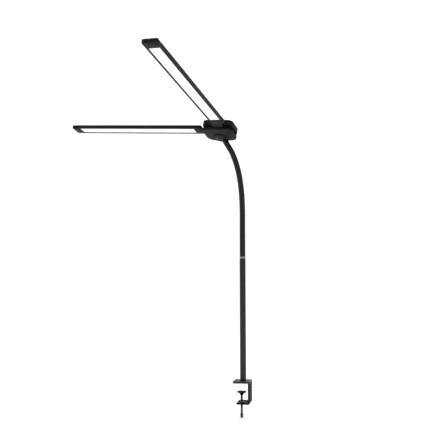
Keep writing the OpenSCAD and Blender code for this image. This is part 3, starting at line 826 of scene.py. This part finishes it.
def touch_strip():
    face = HUB_TOP - 0.1
    strip = block("touch_strip", (HUB_X + STRIP_X[0], STRIP_Y[0], HUB_TOP - 0.78),
                  (HUB_X + STRIP_X[1], STRIP_Y[1], face))
    round_edges(strip, lambda e: runs(e, 2), STRIP_R, 8)
    round_edges(strip, lambda e: on(e, 2, face), 0.25, 3)
    hand_in(place(strip, HEAD), "head", glass, "touch_gloss", "touch_panel")
    marks = []
    for x, outer, inner in ((-24, 3.4, 2.8), (-11, 1.5, 0.9), (-2, 2.0, 1.4), (7, 2.5, 1.9), (16, 3.0, 2.4)):
        mark = turned("touch_mark", [(inner, face - 0.02), (outer, face - 0.02), (outer, face + 0.04),
                                     (inner, face + 0.04)], 32, True)
        marks.append(place(mark, Matrix.Translation((x * MM, 15 * MM, 0))))
    hand_in(place(join(*marks), HEAD), "head", ink, "touch_gloss")


def socket_screw(name, radius, low, high, socket):
    """A screw head with a hexagon socket in its outer face at height low."""
    head = turned(name, [(radius * 0.86, low), (radius, low + 0.2), (radius, high), (radius * 0.6, high)], 32)
    well = turned("well", [(socket, low - 1), (socket, low + 0.9)], 6)
    cut(head, well)
    return head


def hub_fixings():
    first = socket_screw("hub_screw_heads", 2.6, BOSS_BOTTOM + 0.1, BOSS_BOTTOM + 1.8, 1.25)
    heads = [copy_to(first, Matrix.Translation((x * MM, y * MM, 0))) for x, y in HUB_SCREWS[1:]]
    place(first, Matrix.Translation((HUB_SCREWS[0][0] * MM, HUB_SCREWS[0][1] * MM, 0)))
    hand_in(place(join(first, *heads), HEAD), "head", bright_steel, "bright_steel", "hub_screws")


# ---------- light bars ----------

def tongue(n):
    """The thin plate that turns on the pivot, with its round end about the bolt."""
    low, high = TONGUE_LOW[n], TONGUE_LOW[n] + TONGUE_T
    plate = block(f"bar_{n}_tongue", (0, -ARM_W / 2, low), (SHOULDER + 1, ARM_W / 2, high))
    choose(plate, "FACE", lambda f: on(f, 0, SHOULDER + 1))
    bpy.ops.transform.translate(value=(0, CRANK[n] * TONGUE_SHARE * MM, 0))
    leave()
    eye = turned("eye", [(ARM_W / 2, low), (ARM_W / 2, high)], 96)
    modify(plate, "BOOLEAN", object=eye, operation="UNION", solver="EXACT")
    bpy.data.objects.remove(eye)
    cut(plate, turned("pin", [(4.06, -1), (4.06, 11)], 48))
    return plate


def raised_block(n):
    """The cranked arm's lower half, under its tongue, which starts clear of the other arm's round end."""
    part = block(f"bar_{n}_riser", (RISER_X, RISER_Y - ARM_W / 2, 0),
                 (SHOULDER + 0.5, RISER_Y + ARM_W / 2, RISER_T))
    choose(part, "FACE", lambda f: on(f, 0, SHOULDER + 0.5))
    bpy.ops.transform.translate(value=(0, RISER_STEP * MM, 0))
    leave()
    round_edges(part, lambda e: runs(e, 2) and on(e, 0, RISER_X), 7.5, 8)
    return part


def bar_sides(n, inset=0.0):
    """Where the sides of bar n lie across it, drawn in by inset."""
    return CRANK[n] - BAR_W / 2 + inset, CRANK[n] + BAR_W / 2 - inset


def arm(n):
    y0, y1 = bar_sides(n)
    body = block(f"bar_{n}_root", (SHOULDER, y0, 0), (HOUSING - 0.15, y1, BAR_T))
    round_edges(body, lambda e: runs(e, 2) and on(e, 0, SHOULDER), 2.5, 6)
    soften(body, 0.5, 3)
    parts = [tongue(n)] + ([raised_block(n)] if n == 2 else [])
    for part in parts:
        soften(part, 0.25, 2)
    hand_in(place(join(body, *parts), BAR[n]), f"bar_{n}", bar_abs, "bar_plastic", f"bar_{n}_arm")


def housing(n):
    y0, y1 = bar_sides(n)
    shell = block(f"bar_{n}_shell", (HOUSING, y0, 0), (CAP, y1, BAR_T))
    for z in (BAR_T, 0):
        round_edges(shell, lambda e: runs(e, 0) and on(e, 2, z), 0.5, 3)
    mouth = block("mouth", (PANEL[0] - 0.1, y0 + LIP, -1), (PANEL[1] + 0.1, y1 - LIP, 1.7))
    hollow = block("hollow", (HOUSING + 1.2, y0 + WALL, 1.6), (CAP - 1.2, y1 - WALL, BAR_T - WALL))
    cut(shell, mouth, hollow)
    soften(shell, 0.12, 1, 60)
    hand_in(place(shell, BAR[n]), f"bar_{n}", anodised, "bar_metal", f"bar_{n}_housing")


def end_cap(n):
    y0, y1 = bar_sides(n)
    cap = block(f"bar_{n}_tip", (CAP + 0.15, y0, 0), (TIP, y1, BAR_T))
    round_edges(cap, lambda e: runs(e, 2) and on(e, 0, TIP), 2.2, 6)
    round_edges(cap, lambda e: on(e, 2, BAR_T) and not on(e, 0, CAP + 0.15), 1.0, 4)
    soften(cap, 0.35, 2, 50)
    hand_in(place(cap, BAR[n]), f"bar_{n}", bar_abs, "bar_plastic", f"bar_{n}_end_cap")


def diffuser(n):
    y0, y1 = bar_sides(n, LIP + 0.05)
    panel = block(f"bar_{n}_panel", (PANEL[0], y0, PANEL_LOW), (PANEL[1], y1, PANEL_HIGH))
    choose(panel, "FACE", lambda f: on(f, 2, PANEL_LOW))
    bpy.ops.mesh.inset(thickness=0.5 * MM, depth=0.15 * MM)
    leave()
    soften(panel, 0.12, 2)
    hand_in(place(panel, BAR[n]), f"bar_{n}", opal, "opal_panel", f"bar_{n}_diffuser")


def bar_fixings(n):
    spots = [(x, y) for x in (HOUSING + BAR_SCREW_END, CAP - BAR_SCREW_END)
             for y in bar_sides(n, BAR_SCREW_EDGE)]
    flip = Matrix.Rotation(math.pi, 4, "X")
    first = place(socket_screw(f"bar_{n}_screw_heads", 2.1, -0.15, 0.5, 1.0), flip)
    at = [Matrix.Translation((x * MM, y * MM, BAR_T * MM)) for x, y in spots]
    heads = [copy_to(first, matrix) for matrix in at[1:]]
    place(first, at[0])
    hand_in(place(join(first, *heads), BAR[n]), f"bar_{n}", bright_steel, "bright_steel", f"bar_{n}_screws")


# ---------- CAD nodes that stay in view or inside ----------

INNER = {
    "pole_stud": bright_steel, "stud_nut": bright_steel, "pole_plug": nylon, "pole_coupling": hose_steel,
    "driver_board": board_green, "pivot_bolt": bright_steel, "pivot_nut": bright_steel,
    "friction_washers": nylon,
}


def finish_cad_nodes():
    chosen = dict(INNER)
    chosen.update({f"neck_core_{k}": hose_steel for k in range(7)})
    for n in (1, 2):
        chosen.update({f"bar_{n}_led_board": board_white, f"bar_{n}_leds": phosphor})
    for name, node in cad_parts.items():
        node.data.materials.clear()
        node.data.materials.append(chosen.get(name, hub_abs))


# ---------- room, light and camera ----------

def sweep_paper():
    # White background paper: matte, with a glow of its own that hides the lamp's shadow
    material, tree, surface, spot = new_finish("white_paper_sweep", IOR=1.45, Emission_Strength=SWEEP_GLOW)
    pulp = speckle(tree, spot, 3.0, 3.0)
    two_tone(tree, surface, pulp, "#f6f6f6", "#f9f9f9")
    uneven_gloss(tree, surface, pulp, 0.8, 0.9)
    surface.inputs["Emission Color"].default_value = linear("#ffffff")
    return material


def studio():
    """A sheet of paper just below the lamp, which bends up into a wall behind it."""
    low = min(corner[2] for corner in cad_box) - 0.0005
    back = SWEEP_SIZE / 2 - 1
    deselect()
    bpy.ops.mesh.primitive_plane_add(size=SWEEP_SIZE, location=(0, 0, low))
    sweep = take("paper_sweep")
    bpy.ops.object.transform_apply(location=True)
    choose(sweep, "EDGE", lambda e: all(v.co.y > back for v in e.verts))
    bpy.ops.mesh.extrude_region_move(TRANSFORM_OT_translate={"value": (0, 0, SWEEP_WALL)})
    leave()
    round_edges(sweep, lambda e: all(v.co.y > back and v.co.z < low + 1 for v in e.verts),
                SWEEP_BEND / MM, 16)
    dress(sweep, sweep_paper())


def soft_light(name, where, aim, size, power):
    deselect()
    bpy.ops.object.light_add(type="AREA", location=where)
    lamp = take(name)
    lamp.data.shape = "RECTANGLE"
    lamp.data.size, lamp.data.size_y = size
    lamp.data.energy = power
    lamp.rotation_euler = (Vector(aim) - Vector(where)).to_track_quat("-Z", "Y").to_euler()


def lights():
    world = bpy.data.worlds.new("white_room")
    bpy.context.scene.world = world
    world.use_nodes = True
    walls = world.node_tree.nodes["Background"]
    walls.inputs["Color"].default_value = linear("#ffffff")
    walls.inputs["Strength"].default_value = ROOM_GLOW
    soft_light("key_left", (-1.8, -1.6, 1.6), (0, 0, 0.4), (1.4, 1.4), 9)
    soft_light("fill_right", (1.9, -1.4, 0.9), (0, 0, 0.3), (1.2, 1.6), 2)


def camera():
    yaw, pitch, roll = (math.radians(angle) for angle in CAMERA_ANGLES)
    ahead = Vector((-math.sin(yaw) * math.cos(pitch), math.cos(yaw) * math.cos(pitch), math.sin(pitch)))
    right = Vector((math.cos(yaw), math.sin(yaw), 0))
    up = right.cross(ahead)
    right, up = (right * math.cos(roll) + up * math.sin(roll),
                 up * math.cos(roll) - right * math.sin(roll))
    bpy.ops.object.camera_add()
    view = take("front_camera")
    turn = Matrix((right, up, -ahead)).transposed().to_4x4()
    view.matrix_world = Matrix.Translation(CAMERA_PLACE) @ turn
    view.data.sensor_width = 36
    view.data.lens = CAMERA_LENS
    view.data.shift_y = CAMERA_SHIFT
    view.data.dof.use_dof = False
    bpy.context.scene.camera = view
    bpy.context.scene.view_settings.view_transform = "Standard"


finish_cad_nodes()
bracket()
jaw_rubber()
bushing()
foot_ring()
pressure_pad()
clamp_screw()
tommy_bar()
pole()
inlet()
ring()
for joint in range(6):
    sleeve(joint)
collar()
lower_shell()
spine()
upper_shell()
top_cover()
touch_strip()
hub_fixings()
for bar in (1, 2):
    arm(bar)
    housing(bar)
    end_cap(bar)
    diffuser(bar)
    bar_fixings(bar)
studio()
lights()
camera()
